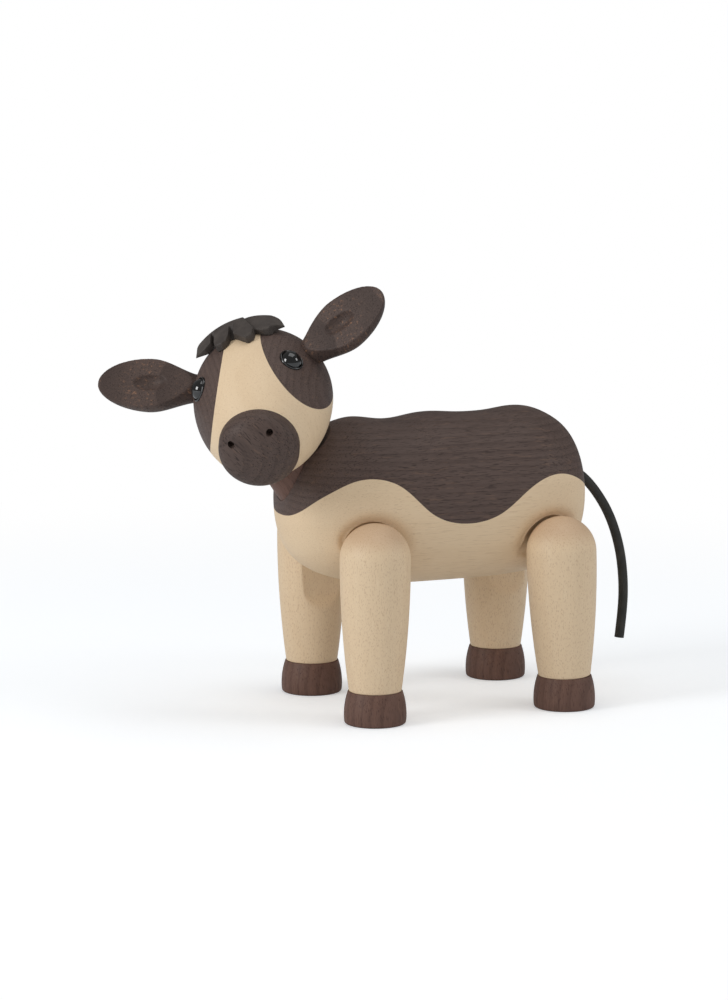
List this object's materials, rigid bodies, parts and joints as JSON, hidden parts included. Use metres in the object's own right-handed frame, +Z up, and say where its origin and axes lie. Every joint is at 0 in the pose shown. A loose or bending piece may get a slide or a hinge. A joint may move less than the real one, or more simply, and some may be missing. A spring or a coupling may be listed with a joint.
{
  "type": "cow figurine",
  "caption": "Jointed wooden cow figurine with a two-tone barrel body, a turning ball head with leather forelock and round ears, swinging turned legs and a cord tail.",
  "frame": {"origin": "on the floor under the middle of the figurine's box, without the tail cord", "axes": "+X the way the body faces, +Y the cow's left, +Z up"},
  "size_m": [0.1725, 0.0752, 0.1353],
  "materials": {
    "maple": "sanded, matte oil",
    "smoked_oak": "sanded, matte oil",
    "walnut": "sanded, matte oil",
    "beech": "plain dowel",
    "eye_glass": "black, polished",
    "strap_leather": "dull, cut edges",
    "cord_leather": "dull, round cord"
  },
  "bodies": {
    "torso": {"body_upper": "smoked_oak", "body_lower": "maple", "body_dowel_front": "beech", "body_dowel_rear": "beech", "neck_pin": "beech", "tail": "cord_leather"},
    "neck": {"neck": "walnut"},
    "head": {"head_pin": "beech", "head_blaze": "maple", "muzzle": "smoked_oak", "muzzle_dowel": "beech", "head_side_left": "smoked_oak", "ear_left": "smoked_oak", "ear_dowel_left": "beech", "eye_left": "eye_glass", "head_side_right": "smoked_oak", "ear_right": "smoked_oak", "ear_dowel_right": "beech", "eye_right": "eye_glass", "forelock": "strap_leather"},
    "front_left_leg": {"leg_front_left": "maple", "hoof_front_left": "walnut", "hoof_dowel_front_left": "beech", "hip_pin_front_left": "beech"},
    "front_right_leg": {"leg_front_right": "maple", "hoof_front_right": "walnut", "hoof_dowel_front_right": "beech", "hip_pin_front_right": "beech"},
    "rear_left_leg": {"leg_rear_left": "maple", "hoof_rear_left": "walnut", "hoof_dowel_rear_left": "beech", "hip_pin_rear_left": "beech"},
    "rear_right_leg": {"leg_rear_right": "maple", "hoof_rear_right": "walnut", "hoof_dowel_rear_right": "beech", "hip_pin_rear_right": "beech"}
  },
  "joints": [
    {"name": "neck_turn", "type": "hinge", "parent": "torso", "child": "neck", "pos_m": [0.02278, 0, 0.08295], "axis": [0.5592, 0, 0.829], "range_deg": [-20, 20]},
    {"name": "head_turn", "type": "hinge", "parent": "neck", "child": "head", "pos_m": [0.02278, 0, 0.08295], "axis": [0.3649, 0, 0.9311], "range_deg": [-124, 4]},
    {"name": "front_left_hip", "type": "hinge", "parent": "torso", "child": "front_left_leg", "pos_m": [0.00283, 0.02665, 0.0516], "axis": [0, 1, 0], "range_deg": [-35, 35]},
    {"name": "front_right_hip", "type": "hinge", "parent": "torso", "child": "front_right_leg", "pos_m": [0.00283, -0.02665, 0.0516], "axis": [0, 1, 0], "range_deg": [-35, 35]},
    {"name": "rear_left_hip", "type": "hinge", "parent": "torso", "child": "rear_left_leg", "pos_m": [-0.06177, 0.02665, 0.0499], "axis": [0, 1, 0], "range_deg": [-35, 35]},
    {"name": "rear_right_hip", "type": "hinge", "parent": "torso", "child": "rear_right_leg", "pos_m": [-0.06177, -0.02665, 0.0499], "axis": [0, 1, 0], "range_deg": [-35, 35]}
  ]
}
